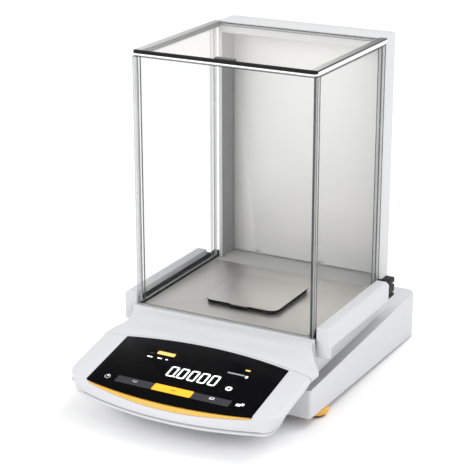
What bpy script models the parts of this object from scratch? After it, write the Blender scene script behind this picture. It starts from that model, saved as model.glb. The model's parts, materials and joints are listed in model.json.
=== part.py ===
"""Analytical balance with a glass draft shield, at full size in metres, +Z up.

The origin lies on the table under the middle of the outline. +X points to the
right-hand door and +Y to the rear. Dimensions below are millimetres and are
turned into metres when a mesh is made.
"""

import math

import bmesh
import bpy
from mathutils import Vector

MM = 0.001
GAP = 0.3

# Base housing
BODY_HALF_W = 112.0
BODY_FRONT = -67.0
NOSE_FRONT = -86.0
BODY_REAR = 190.0
BODY_BOTTOM_FRONT_Z = 10.0
BODY_BOTTOM_SLOPE = -8.0 / 257.0
LEDGE_FRONT_Z = 42.4
LEDGE_SLOPE = 0.0454
DECK_HALF_W = 100.5
DECK_FRONT = -60.0
DECK_REAR = 143.0
DECK_TOP = 85.0
WALL = 3.0
BASE_THICK = 5.0

# Draft shield
SHIELD_HALF_W = 101.0
GLASS_THICK = 4.0
PANE_FRONT = -62.0
PANE_REAR = -57.5
PANE_BOTTOM = 86.4
PANE_TOP = 350.8
DOOR_FRONT = -57.1
DOOR_REAR = 106.0
DOOR_BOTTOM = 88.0
DOOR_TOP = 349.8
RAIL_BOTTOM = 350.2
SHIELD_TOP = 356.6
LID_BOTTOM = 351.7
LID_THICK = 2.8
LID_HALF_W = 94.2
LID_REAR = 108.2

# Rear column
COLUMN_HALF_W = 96.5
COLUMN_FRONT = 109.0
COLUMN_WALL = 4.0

# Sliding door fittings
HANDLE_FRONT = -58.0
HANDLE_REAR = 93.0
HANDLE_INNER = 104.0
HANDLE_OUTER = 118.4
HANDLE_TOP = 97.4
HANDLE_SHOULDER = 92.0
HANDLE_LOW = 76.4
HANDLE_CAP_LOW = 66.2
RUNNER_INNER = 106.0
RUNNER_REAR = 115.2
RUNNER_LOW = 74.6
RUNNER_TOP = {"left": 86.0, "right": 96.4}

# Step under the front pane
APRON_HALF_W = 104.5
APRON_TOP = 86.0
APRON_REAR = -60.3
APRON_UNDER = 43.2

# Weighing pan
PAN_CENTRE = (0.0, 17.0)
PAN_SIZE = 85.0
PAN_TOP = 91.0
PAN_THICK = 1.8

# Levelling feet
FOOT_X = 100.0
FOOT_Y = -50.0
WHEEL_R = 14.0
STUD_R = 4.0

# Console
CONSOLE_TILT = math.radians(11.84)
TOP_Y0 = -173.4
TOP_Z0 = 47.9
CONSOLE_HALF_W = 120.0
CONSOLE_FRONT = -189.2
PARTING_Z = 31.0
SIDE_EDGE = 6.4
GLASS_HALF_W = 92.5
EDGE_BOW = 0.00105
PART_BOW = 0.00178
REAR_BOW = 0.001165

# Calibration drive
CAM_X = 60.0
CAM_Z = 30.0
CAM_MIN_R = 8.0
CAM_RISE_PER_RAD = 4.0 / math.radians(150.0)

for old in list(bpy.data.objects):
    bpy.data.objects.remove(old, do_unlink=True)


def material(name, colour, roughness, metallic=0.0, alpha=1.0):
    """A Principled BSDF material, made once for each name."""
    found = bpy.data.materials.get(name)
    if found:
        return found
    made = bpy.data.materials.new(name)
    made.use_nodes = True
    shader = made.node_tree.nodes["Principled BSDF"]
    shader.inputs["Base Color"].default_value = (*colour, 1.0)
    shader.inputs["Roughness"].default_value = roughness
    shader.inputs["Metallic"].default_value = metallic
    shader.inputs["Alpha"].default_value = alpha
    return made


WHITE = ("housing_white", (0.84, 0.85, 0.85), 0.45)
SHELL = ("console_white", (0.80, 0.80, 0.81), 0.45)
PANEL = ("panel_grey", (0.70, 0.70, 0.69), 0.6)
STEEL = ("brushed_steel", (0.45, 0.43, 0.40), 0.35, 1.0)
GLASS = ("clear_glass", (0.88, 0.92, 0.91), 0.03, 0.0, 0.2)
BLACK = ("black_plastic", (0.02, 0.02, 0.022), 0.4)
RUBBER = ("black_rubber", (0.03, 0.03, 0.03), 0.8)
ORANGE = ("orange_plastic", (0.80, 0.38, 0.04), 0.45)
SCREEN = ("display_glass_black", (0.006, 0.006, 0.007), 0.08)
ALUMINIUM = ("cast_aluminium", (0.55, 0.56, 0.57), 0.45, 1.0)
RAIL = ("rail_grey", (0.46, 0.47, 0.47), 0.35, 1.0)
BOARD = ("circuit_board_green", (0.03, 0.16, 0.07), 0.5)
COPPER = ("copper_wire", (0.60, 0.28, 0.14), 0.4, 1.0)
ZINC = ("zinc_screw", (0.60, 0.60, 0.60), 0.35, 1.0)


# ---------------------------------------------------------------- mesh tools

def clean(bm):
    """Outward normals on a closed mesh whose warped faces are split."""
    warped = [face for face in bm.faces if len(face.verts) > 4]
    bmesh.ops.triangulate(bm, faces=warped)
    bmesh.ops.recalc_face_normals(bm, faces=bm.faces)
    return bm


def loft(rings):
    """A closed solid through rings of points, capped at both ends."""
    bm = bmesh.new()
    made = [[bm.verts.new(Vector(p) * MM) for p in ring] for ring in rings]
    count = len(rings[0])
    for low, high in zip(made, made[1:]):
        for i in range(count):
            j = (i + 1) % count
            bm.faces.new((low[i], low[j], high[j], high[i]))
    bm.faces.new(made[0])
    bm.faces.new(made[-1])
    return clean(bm)


def level(value):
    """A height rule from either a number or a rule of (x, y)."""
    return value if callable(value) else lambda x, y: value


def slab(outline, low, high):
    """An outline in plan between two heights, which may slope."""
    low, high = level(low), level(high)
    rings = [[(x, y, z(x, y)) for x, y in outline] for z in (low, high)]
    return loft(rings)


def along_x(profile, left, right):
    """A (y, z) profile drawn out along X."""
    return loft([[(x, y, z) for y, z in profile] for x in (left, right)])


def along_y(profile, front, rear):
    """An (x, z) profile drawn out along Y."""
    return loft([[(x, y, z) for x, z in profile] for y in (front, rear)])


def block(x0, x1, y0, y1, z0, z1):
    return slab([(x0, y0), (x1, y0), (x1, y1), (x0, y1)], z0, z1)


def turned(profile, centre, steps=24, axis="Z"):
    """A (radius, height) profile turned about an axis through centre."""
    rings = []
    for radius, height in profile:
        ring = []
        for i in range(steps):
            angle = math.tau * (i + 0.5) / steps
            a, b = radius * math.cos(angle), radius * math.sin(angle)
            spot = {"Z": (a, b, height), "Y": (a, height, b), "X": (height, a, b)}[axis]
            ring.append(Vector(centre) + Vector(spot))
        rings.append(ring)
    return loft(rings)


def rod(radius, low, high, centre, steps=24, axis="Z"):
    return turned([(radius, low), (radius, high)], centre, steps, axis)


def tube(profile, centre, steps=32):
    """A closed (radius, height) profile turned about Z, leaving a bore."""
    bm = bmesh.new()
    rings = []
    for i in range(steps):
        angle = math.tau * i / steps
        turn = Vector((math.cos(angle), math.sin(angle), 0.0))
        up = Vector((0.0, 0.0, 1.0))
        rings.append([bm.verts.new((Vector(centre) + turn * r + up * h) * MM) for r, h in profile])
    count = len(profile)
    for i, ring in enumerate(rings):
        other = rings[(i + 1) % steps]
        for a in range(count):
            b = (a + 1) % count
            bm.faces.new((ring[a], ring[b], other[b], other[a]))
    return clean(bm)


def rounded(x0, x1, y0, y1, radii, steps=4):
    """A rectangle's outline, counter-clockwise, with its own radius at each corner.

    radii are front-left, front-right, rear-right, rear-left.
    """
    corners = (
        (x0, y0, 1, 1, math.pi),
        (x1, y0, -1, 1, 1.5 * math.pi),
        (x1, y1, -1, -1, 0.0),
        (x0, y1, 1, -1, 0.5 * math.pi),
    )
    points = []
    for (x, y, sx, sy, start), radius in zip(corners, radii):
        if radius == 0:
            points.append((x, y))
            continue
        for i in range(steps + 1):
            angle = start + 0.5 * math.pi * i / steps
            points.append((x + sx * radius + radius * math.cos(angle),
                           y + sy * radius + radius * math.sin(angle)))
    return points


def make(name, bm, look, origin=(0.0, 0.0, 0.0), smooth=0.0):
    """An object from a mesh, its own origin placed at origin in millimetres."""
    mesh = bpy.data.meshes.new(name)
    start = Vector(origin) * MM
    bmesh.ops.translate(bm, verts=bm.verts, vec=-start)
    bm.to_mesh(mesh)
    bm.free()
    if smooth:
        mesh.shade_smooth()
        mesh.set_sharp_from_angle(angle=math.radians(smooth))
    mesh.materials.append(material(*look))
    made = bpy.data.objects.new(name, mesh)
    made.location = start
    bpy.context.scene.collection.objects.link(made)
    return made


def helper(obj, bm, tag):
    """A hidden mesh that a Boolean on obj uses."""
    mesh = bpy.data.meshes.new(f"{obj.name}_{tag}")
    bm.to_mesh(mesh)
    bm.free()
    made = bpy.data.objects.new(mesh.name, mesh)
    made.hide_render = True
    made.display_type = "WIRE"
    bpy.context.scene.collection.objects.link(made)
    return made


def combine(obj, operation, shapes, solver="EXACT"):
    """Booleans of obj with each shape in turn."""
    for shape in shapes:
        number = len(obj.modifiers)
        modifier = obj.modifiers.new(f"{operation.lower()}_{number}", "BOOLEAN")
        modifier.operation = operation
        modifier.solver = solver
        modifier.object = helper(obj, shape, f"{operation.lower()}_{number}")
    return obj


def cut(obj, *shapes, solver="EXACT"):
    return combine(obj, "DIFFERENCE", shapes, solver)


def add(obj, *shapes):
    return combine(obj, "UNION", shapes)


# ---------------------------------------------------------------- base

def bottom_z(x, y):
    return BODY_BOTTOM_FRONT_Z + (y - BODY_FRONT) * BODY_BOTTOM_SLOPE


def ledge_z(x, y):
    return LEDGE_FRONT_Z + (y - BODY_FRONT) * LEDGE_SLOPE


def raised(rule, amount):
    return lambda x, y: rule(x, y) + amount


def rear_opening(x0, x1, z0, z1):
    return block(x0 - 0.5, x1 + 0.5, BODY_REAR - 8, BODY_REAR + 5, z0 - 0.5, z1 + 0.5)


INLET = (-68.0, -52.0, 18.0, 32.0)
SERIAL = (-22.0, 18.0, 18.0, 30.5)
USB = (44.0, 58.0, 18.0, 26.0)


def build_base():
    outer = rounded(-BODY_HALF_W, BODY_HALF_W, NOSE_FRONT, BODY_REAR, (3, 3, 10, 10))
    inner = rounded(-BODY_HALF_W + WALL, BODY_HALF_W - WALL, NOSE_FRONT + WALL,
                    BODY_REAR - WALL, (1, 1, 7, 7))
    deck = rounded(-DECK_HALF_W, DECK_HALF_W, DECK_FRONT, DECK_REAR, (2, 2, 4, 4))
    deck_inner = rounded(-DECK_HALF_W + WALL, DECK_HALF_W - WALL, DECK_FRONT + WALL,
                         DECK_REAR - WALL, (1, 1, 2, 2))
    housing = make("housing", slab(outer, bottom_z, ledge_z), WHITE)
    add(housing, slab(deck, 35.0, DECK_TOP))
    cut(housing,
        slab(inner, raised(bottom_z, -6), raised(ledge_z, -WALL)),
        slab(deck_inner, 25.0, DECK_TOP - WALL),
        rod(10.0, DECK_TOP - 10, DECK_TOP + 5, (*PAN_CENTRE, 0)),
        block(-32.5, 32.5, NOSE_FRONT - 4, NOSE_FRONT + 6, 16.4, 20.8),
        rear_opening(*INLET), rear_opening(*SERIAL), rear_opening(*USB))

    plate_plan = rounded(-BODY_HALF_W + WALL + 0.4, BODY_HALF_W - WALL - 0.4,
                         NOSE_FRONT + WALL + 0.4, BODY_REAR - WALL - 0.4, (1, 1, 7, 7))
    plate = make("base_plate", slab(plate_plan, raised(bottom_z, 1), raised(bottom_z, 1 + BASE_THICK)),
                 ALUMINIUM)
    holes = [rod(STUD_R + 0.6, -2, 25, (sx * FOOT_X, FOOT_Y, 0)) for sx in (-1, 1)]
    holes += [rod(2.4, -2, 25, (sx * 20, -54, 0), 16) for sx in (-1, 1)]
    holes += [rod(2.4, -2, 25, (sx * 17, y, 0), 16) for sx in (-1, 1) for y in (50, 118)]
    holes.append(rod(12.0, -2, 25, (*PAN_CENTRE, 0)))
    cut(plate, *holes)

    hook_high = raised(bottom_z, 5)
    ring = [(PAN_CENTRE[0] + 11.6 * math.cos(math.tau * i / 24),
             PAN_CENTRE[1] + 11.6 * math.sin(math.tau * i / 24)) for i in range(24)]
    make("hook_cover", slab(ring, raised(bottom_z, 1.2), hook_high), BLACK)

    for side, sx in (("left", -1), ("right", 1)):
        foot_top = bottom_z(0, 165) + 1 - GAP - 0.3
        make(f"rear_foot_{side}",
             turned([(7.5, 0), (9, 1.2), (9, foot_top)], (sx * 90, 165, 0)), RUBBER, smooth=40)
        make(f"levelling_wheel_{side}",
             tube([(STUD_R + 0.4, 3.1), (12.6, 3.1), (WHEEL_R, 4.3), (WHEEL_R, 7.9),
                   (12.8, 9.0), (STUD_R + 0.4, 9.0)], (sx * FOOT_X, FOOT_Y, 0)),
             ORANGE, origin=(sx * FOOT_X, FOOT_Y, 6), smooth=40)
        make(f"levelling_stud_{side}",
             turned([(10.2, 0), (11.4, 0.8), (11.4, 2.0), (10.6, 2.6), (STUD_R, 2.7),
                     (STUD_R, 30), (STUD_R - 0.8, 31)], (sx * FOOT_X, FOOT_Y, 0)),
             RUBBER, origin=(sx * FOOT_X, FOOT_Y, 6), smooth=40)

    build_apron()

    floor = make("floor_plate",
                 slab(rounded(-93.3, 93.3, -56.8, 97, (4, 4, 4, 4)), DECK_TOP + GAP, DECK_TOP + 1.3),
                 STEEL)
    cut(floor, rod(7.5, DECK_TOP - 3, DECK_TOP + 5, (*PAN_CENTRE, 0)))

    for side, sx in (("left", -1), ("right", 1)):
        x0, x1 = sorted((sx * (DECK_HALF_W + GAP), sx * (HANDLE_INNER - 0.5)))
        make(f"guide_rail_{side}", block(x0, x1, -50, 136, 72, 80), RAIL)

    inlet = make("power_inlet", port(*INLET), BLACK)
    cut(inlet, rod(4.2, BODY_REAR - 12, BODY_REAR + 3, (-60, 0, 25), 20, "Y"))
    add(inlet, rod(1.2, BODY_REAR - 13, BODY_REAR - 2, (-60, 0, 25), 12, "Y"))
    serial = make("serial_port", port(*SERIAL), ZINC)
    cut(serial, block(-17, 13, BODY_REAR - 8, BODY_REAR + 3, 20.5, 28))
    usb = make("usb_port", port(*USB), ZINC)
    cut(usb, block(45.5, 56.5, BODY_REAR - 10, BODY_REAR + 3, 19.5, 24.5))


def port(x0, x1, z0, z1):
    return block(x0, x1, BODY_REAR - 16, BODY_REAR - 0.6, z0, z1)


def apron_section(x):
    """The step under the glass, curving forwards into the console's top face."""
    front = rear_y(x) + 0.5
    curve = [(-77.0, 0.0), (-73.0, 1.0), (-70.2, 2.9), (-68.2, 6.0), (BODY_FRONT, 10.5)]
    face = [(y, top_z(y) + lift) for y, lift in curve]
    return [(x, y, z) for y, z in
            [(front, APRON_UNDER), (front, top_z(front))] + face +
            [(BODY_FRONT, APRON_TOP - 1.0), (BODY_FRONT + 1.0, APRON_TOP), (APRON_REAR, APRON_TOP),
             (APRON_REAR, APRON_UNDER)]]


def build_apron():
    count = 24
    sections = [apron_section(-119.0 + 238.0 * i / count) for i in range(count + 1)]
    apron = make("front_apron", loft(sections), WHITE)
    right = [(APRON_HALF_W, APRON_UNDER - 5), (APRON_HALF_W, 46.0), (112.0, 53.5), (119.4, 58.6),
             (119.6, 61.0), (118.6, 63.2), (116.4, 64.9), (111.0, 67.0), (107.8, 70.0),
             (105.6, 75.0), (APRON_HALF_W, 81.0), (APRON_HALF_W, APRON_TOP + 5)]
    flare = right + [(-x, z) for x, z in reversed(right)]
    combine(apron, "INTERSECT", [along_y(flare, -110, -50)], solver="MANIFOLD")
    wing_rear = [(APRON_HALF_W - 0.2, BODY_FRONT + 0.6), (106.5, BODY_FRONT - 1.5), (130.0, -95.0),
                 (130.0, -50.0), (APRON_HALF_W - 0.2, -50.0)]
    for sx in (-1, 1):
        cut(apron, slab([(sx * x, y) for x, y in wing_rear], 35.0, APRON_TOP + 5), solver="MANIFOLD")


# ---------------------------------------------------------------- draft shield

def build_shield():
    column = make("rear_column",
                  slab(rounded(-COLUMN_HALF_W, COLUMN_HALF_W, COLUMN_FRONT, DECK_REAR, (0, 0, 3, 3)),
                       DECK_TOP + GAP, SHIELD_TOP - 0.2), WHITE)
    cut(column,
        block(-COLUMN_HALF_W + COLUMN_WALL, COLUMN_HALF_W - COLUMN_WALL, COLUMN_FRONT - 5,
              DECK_REAR - COLUMN_WALL, DECK_TOP - 5, 344.0),
        block(-LID_HALF_W - 0.3, LID_HALF_W + 0.3, COLUMN_FRONT - 5, DECK_REAR + 5,
              LID_BOTTOM - 0.3, LID_BOTTOM + LID_THICK + 0.3))
    panel = make("back_panel", block(-92.1, 92.1, 136.6, 138.6, 87.0, 343.6), PANEL)
    cut(panel, block(-64, -57, 130, 145, 80, 90), block(15, 22, 130, 145, 80, 90))

    make("front_pane", block(-SHIELD_HALF_W, SHIELD_HALF_W, PANE_FRONT, PANE_REAR, PANE_BOTTOM, PANE_TOP),
         GLASS)
    bar = rounded(-SHIELD_HALF_W, SHIELD_HALF_W, PANE_FRONT, PANE_REAR, (4.2, 4.2, 0, 0), 5)
    make("front_top_bar", slab(bar, PANE_TOP + GAP, SHIELD_TOP), BLACK)

    groove = (LID_BOTTOM - 0.35, LID_BOTTOM + LID_THICK + 0.35)
    for side, sx in (("left", -1), ("right", 1)):
        profile = [(SHIELD_HALF_W, RAIL_BOTTOM), (SHIELD_HALF_W, SHIELD_TOP - 1),
                   (SHIELD_HALF_W - 1, SHIELD_TOP), (93.2, SHIELD_TOP), (93.2, groove[1]),
                   (95.0, groove[1]), (95.0, groove[0]), (93.2, groove[0]), (93.2, RAIL_BOTTOM)]
        profile = [(sx * x, z) for x, z in profile]
        make(f"top_rail_{side}", along_y(profile, DOOR_FRONT, COLUMN_FRONT - 0.4), RAIL)

        door_x = sorted((sx * (SHIELD_HALF_W - GLASS_THICK), sx * SHIELD_HALF_W))
        middle = (sx * (SHIELD_HALF_W - 2), 24, DECK_TOP)
        make(f"{side}_door_glass",
             block(*door_x, DOOR_FRONT, DOOR_REAR, DOOR_BOTTOM, DOOR_TOP), GLASS, origin=middle)
        profile = [(96.8, 85.7), (103.7, 85.7), (103.7, 91.5), (101.3, 91.5), (101.3, 87.7), (96.8, 87.7)]
        seal = make(f"{side}_door_seal", along_y([(sx * x, z) for x, z in profile], -56.8, 111), BLACK,
                    origin=middle)
        add(seal, block(*sorted((sx * 97.2, sx * 103.4)), DOOR_REAR + 1.0, 110.6, 86.5, 92.5))
        build_handle(side, sx, middle)

    lid = make("top_door_glass",
               block(-LID_HALF_W, LID_HALF_W, PANE_REAR + 0.4, LID_REAR, LID_BOTTOM, LID_BOTTOM + LID_THICK),
               GLASS, origin=(0, 24, LID_BOTTOM))
    grip = rounded(-11, 11, -57.0, -50.5, (1.5, 1.5, 1.5, 1.5), 3)
    make("top_door_grip", slab(grip, LID_BOTTOM + LID_THICK + GAP, SHIELD_TOP + 0.9), BLACK,
         origin=tuple(lid.location / MM))


def handle_ring(y, sx, shrink, low):
    """A section of the door handle at one depth: flat top, chamfered shoulder, upright side."""
    outer, top = HANDLE_OUTER - shrink, HANDLE_TOP - shrink
    return [(sx * x, y, z) for x, z in
            ((HANDLE_INNER + shrink, low), (outer, low), (outer, HANDLE_SHOULDER - shrink),
             (outer - 1.4, HANDLE_SHOULDER + 3.4 - shrink), (outer - 5.2, top),
             (HANDLE_INNER + shrink, top))]


def build_handle(side, sx, middle):
    span = HANDLE_REAR - HANDLE_FRONT
    handle = make(f"{side}_door_handle",
                  loft([handle_ring(HANDLE_FRONT, sx, 0.8, HANDLE_LOW + 0.8),
                        handle_ring(HANDLE_FRONT + 1.0, sx, 0.0, HANDLE_LOW),
                        handle_ring(HANDLE_REAR, sx, 0.0, HANDLE_LOW - 2.2)]),
                  WHITE, origin=middle)
    cap_x = sorted((sx * (HANDLE_INNER + 0.4), sx * (HANDLE_OUTER - 0.4)))
    add(handle, block(*cap_x, HANDLE_FRONT + 0.3, HANDLE_FRONT + 5.0, HANDLE_CAP_LOW, HANDLE_LOW + 6))
    low_at = [HANDLE_LOW - 6 - 2.2 * d / span for d in (8, span - 3)]
    pocket = loft([handle_ring(y, sx, 2.2, low)
                   for y, low in zip((HANDLE_FRONT + 8, HANDLE_REAR - 3), low_at)])
    cut(handle, pocket)

    top = RUNNER_TOP[side]
    clip = [(HANDLE_REAR + 0.4, RUNNER_LOW), (RUNNER_REAR, RUNNER_LOW), (RUNNER_REAR, top - 1.5),
            (RUNNER_REAR - 2, top), (HANDLE_REAR + 0.4, top)]
    runner = make(f"{side}_door_runner",
                  along_x(clip, *sorted((sx * RUNNER_INNER, sx * 115.6))), BLACK, origin=middle)
    shoe = block(*sorted((sx * 101.3, sx * (RUNNER_INNER + 1))), HANDLE_REAR + 1, RUNNER_REAR - 1,
                 80.6, 84.8)
    combine(runner, "UNION", [shoe], solver="MANIFOLD")
    cut(runner, block(*sorted((sx * 113, sx * 118)), HANDLE_REAR + 4, RUNNER_REAR + 2, 78, 79.8),
        solver="MANIFOLD")
    if top > HANDLE_SHOULDER:
        cut(runner, block(*sorted((sx * (RUNNER_INNER - 2), sx * 118)), RUNNER_REAR - 6,
                          RUNNER_REAR + 2, 88.0, 90.2), solver="MANIFOLD")


# ---------------------------------------------------------------- pan and cell

def build_weighing():
    px, py = PAN_CENTRE
    half = PAN_SIZE / 2
    outline = rounded(px - half, px + half, py - half, py + half, (10, 10, 10, 10), 5)
    rim = rounded(px - half + 1.2, px + half - 1.2, py - half + 1.2, py + half - 1.2, (9, 9, 9, 9), 5)
    pan = make("weighing_pan",
               loft([[(x, y, PAN_TOP - PAN_THICK) for x, y in rim],
                     [(x, y, PAN_TOP - 1.0) for x, y in outline],
                     [(x, y, PAN_TOP) for x, y in outline]]),
               STEEL, origin=(px, py, PAN_TOP))
    add(pan, block(px - 10, px + 10, py - half - 1.4, py - half + 0.6, PAN_TOP - 4.2, PAN_TOP - 0.2))

    support = make("pan_support", rod(9.0, 87.4, 88.9, (px, py, 0)), ALUMINIUM, origin=(px, py, PAN_TOP))
    add(support, block(px - 34, px + 34, py - 3, py + 3, 87.5, 88.8),
        block(px - 3, px + 3, py - 34, py + 34, 87.3, 88.7))

    receiver = make("load_receiver", block(-11, 11, 6, 39.4, 40, 52), ALUMINIUM, origin=(px, py, 60))
    add(receiver, turned([(5, 45), (5, 84), (3.6, 87.0)], (px, py, 0), 24))

    cell = make("weigh_cell", block(-24, 24, 40, 128, 13.5, 66), ALUMINIUM)
    cut(cell, block(-30, 30, 50, 118, 20, 22.5), block(-30, 30, 50, 118, 57, 59.5),
        block(-30, 30, 60, 140, 32, 50), block(-30, 30, 46, 48.5, 25, 55),
        *[rod(2.4, 5, 30, (sx * 17, y, 0), 16) for sx in (-1, 1) for y in (50, 118)])

    lever = make("cell_lever", block(-5, 5, 62, 158, 38, 43), ALUMINIUM, origin=(0, 72, 40.5))
    cut(lever, block(-2, 2, 80, 136, 30, 50))
    make("cell_coil", tube([(9, 26), (12, 26), (12, 37.6), (9, 37.6)], (0, 152, 0), 24), COPPER,
         origin=(0, 72, 40.5), smooth=40)
    magnet = make("cell_magnet", rod(21, 12.5, 35, (0, 152, 0), 32), ZINC, smooth=40)
    cut(magnet, tube([(8, 20), (13.2, 20), (13.2, 45), (8, 45)], (0, 152, 0), 32))
    sensor = make("position_sensor", block(14.5, 18, 146, 158, 35.4, 48.4), BLACK)
    add(sensor, block(-7, 16, 147, 157, 44.6, 48))

    number = 0
    for sx in (-1, 1):
        for y in (50, 118):
            number += 1
            head = bottom_z(0, y) + 0.9
            make(f"cell_screw_{number}",
                 turned([(4, head - 2.6), (4, head - GAP), (2, head - GAP), (2, 19.2)],
                        (sx * 17, y, 0), 12), ZINC)
    for number, sx in ((1, -1), (2, 1)):
        make(f"bracket_screw_{number}",
             turned([(2, 9.5), (2, 20.6), (4, 20.6), (4, 23)], (sx * 20, -54, 0), 12), ZINC)

    board = make("main_board", block(-98, -38, -5, 108, 22, 23.6), BOARD)
    add(board, block(-84, -66, 20, 38, 23, 26), block(-60, -48, 60, 80, 23, 30),
        block(-92, -78, 70, 98, 23, 34), block(-70, -58, 88, 102, 23, 28),
        *[rod(2.6, bottom_z(0, y) + 6.5, 22.5, (x, y, 0), 10) for x in (-94, -42) for y in (0, 102)])


def cam_radius(angle):
    """Spiral rise over 170 degrees, then an even return to the low dwell."""
    top = math.radians(170)
    fall_end = math.radians(320)
    if angle <= top:
        return CAM_MIN_R + CAM_RISE_PER_RAD * angle
    if angle <= fall_end:
        return CAM_MIN_R + CAM_RISE_PER_RAD * top * (fall_end - angle) / (fall_end - top)
    return CAM_MIN_R


def build_calibration():
    cam_origin = (CAM_X, 0, CAM_Z)
    rings = []
    for y in (-3, 3):
        ring = []
        for i in range(48):
            angle = math.tau * i / 48
            radius = cam_radius(angle)
            turn = math.pi / 2 + angle
            ring.append((CAM_X + radius * math.cos(turn), y, CAM_Z + radius * math.sin(turn)))
        rings.append(ring)
    cam = make("calibration_cam", loft(rings), BLACK, origin=cam_origin)
    add(cam, rod(2.5, 2, 9.4, cam_origin, 16, "Y"))
    make("calibration_motor", rod(11, 10, 34, cam_origin, 24, "Y"), ZINC, smooth=40)

    frame = make("calibration_frame", block(44, 76, 7, 9.6, 15, 48.5), ALUMINIUM)
    add(frame, block(44, 76, -12, 8, 46, 48.5), block(44, 76, -12, 9, 15, 17))
    cut(frame, rod(3.5, 0, 20, cam_origin, 16, "Y"), rod(3.5, 40, 60, (CAM_X, 0, 0), 16))

    foot = CAM_Z + CAM_MIN_R + 0.5
    make("calibration_lifter",
         turned([(6, foot), (6, foot + 2), (3, foot + 2), (3, 51), (12, 52), (12, 54)],
                (CAM_X, 0, 0), 24), ALUMINIUM, origin=(CAM_X, 0, foot))
    make("calibration_weight",
         turned([(9, 54.3), (10, 55.3), (10, 69), (9, 70)], (CAM_X, 0, 0), 32), ZINC,
         origin=(CAM_X, 0, foot), smooth=40)


# ---------------------------------------------------------------- console

def top_z(y):
    """Height of the console's sloping top face."""
    return TOP_Z0 + (y - TOP_Y0) * math.tan(CONSOLE_TILT)


def face_point(u, v, w=0.0):
    """A point given across, up and out of the console's sloping top face."""
    c, s = math.cos(CONSOLE_TILT), math.sin(CONSOLE_TILT)
    return (u, TOP_Y0 + v * c - w * s, TOP_Z0 + v * s + w * c)


def face_slab(outline, low, high):
    return loft([[face_point(u, v, w) for u, v in outline] for w in (low, high)])


def edge_y(x):
    """Front edge of the sloping top face."""
    return -183.2 + EDGE_BOW * x * x


def parting_y(x):
    return CONSOLE_FRONT + PART_BOW * x * x


def front_y(x, z):
    """The front face between the top edge and the parting line."""
    top, low = edge_y(x), parting_y(x)
    share = (top_z(top) - z) / (top_z(top) - PARTING_Z)
    return top + (low - top) * share


def rear_y(x):
    return -83.4 - REAR_BOW * x * x


def console_plan(half_w, front, rear, r_front, r_rear):
    """A rounded outline between two bowed curves, the same count for each call."""
    bow_steps, arc_steps = 16, 6
    points = []
    reach = half_w - r_front
    for i in range(bow_steps + 1):
        x = -reach + 2 * reach * i / bow_steps
        points.append((x, front(x)))
    base = front(reach)
    for i in range(1, arc_steps + 1):
        angle = 0.5 * math.pi * i / arc_steps
        points.append((reach + r_front * math.sin(angle), base + r_front * (1 - math.cos(angle))))
    reach = half_w - r_rear
    base = rear(reach)
    for i in range(arc_steps):
        angle = 0.5 * math.pi * i / arc_steps
        points.append((reach + r_rear * math.cos(angle), base - r_rear * (1 - math.sin(angle))))
    for i in range(bow_steps + 1):
        x = reach - 2 * reach * i / bow_steps
        points.append((x, rear(x)))
    for i in range(1, arc_steps + 1):
        angle = 0.5 * math.pi * i / arc_steps
        points.append((-reach - r_rear * math.sin(angle), base - r_rear * (1 - math.cos(angle))))
    reach = half_w - r_front
    base = front(reach)
    for i in range(arc_steps):
        angle = 0.5 * math.pi * i / arc_steps
        points.append((-reach - r_front * math.cos(angle), base + r_front * (1 - math.sin(angle))))
    return points


def part_line(y):
    """The parting line is level along the front and climbs close under the top face at the sides."""
    share = min(1.0, max(0.0, (y + 173.0) / 23.0))
    share = share * share * (3 - 2 * share)
    return PARTING_Z + share * (top_z(y) - SIDE_EDGE - PARTING_Z)


def shell_gap(y):
    """The shadow groove is widest at the front and closes towards the sides."""
    return 0.5 + 1.7 * min(1.0, max(0.0, (-150.0 - y) / 22.0))


def glass_outline(grow=0.0, past_front=0.0):
    """The display glass in (u, v), bowed towards both long edges."""
    half = GLASS_HALF_W + grow
    steps = 16
    points = []
    for i in range(steps + 1):
        u = -half + 2 * half * i / steps
        points.append((u, -10.0 - past_front + 0.001075 * u * u))
    for i in range(steps + 1):
        u = half - 2 * half * i / steps
        points.append((u, 89.2 + grow - 0.00119 * u * u))
    return points


def strip_rings(grow):
    """Sections of the trim strip under the glass, across its width."""
    rings = []
    count = 20
    half = 91.0 + grow
    for i in range(count + 1):
        x = -half + 2 * half * i / count
        tall = 0.9 + 3.5 * (1 - (x / 95.0) ** 2)
        high = top_z(edge_y(x)) - 2.4 + 3 * grow
        low = top_z(edge_y(x)) - 2.4 - tall - grow
        inner = edge_y(x) + 2.6 + grow
        out = 10 * grow
        rings.append([(x, inner, high), (x, front_y(x, high) - out, high),
                      (x, front_y(x, low) - out, low), (x, inner, low)])
    return rings


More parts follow.
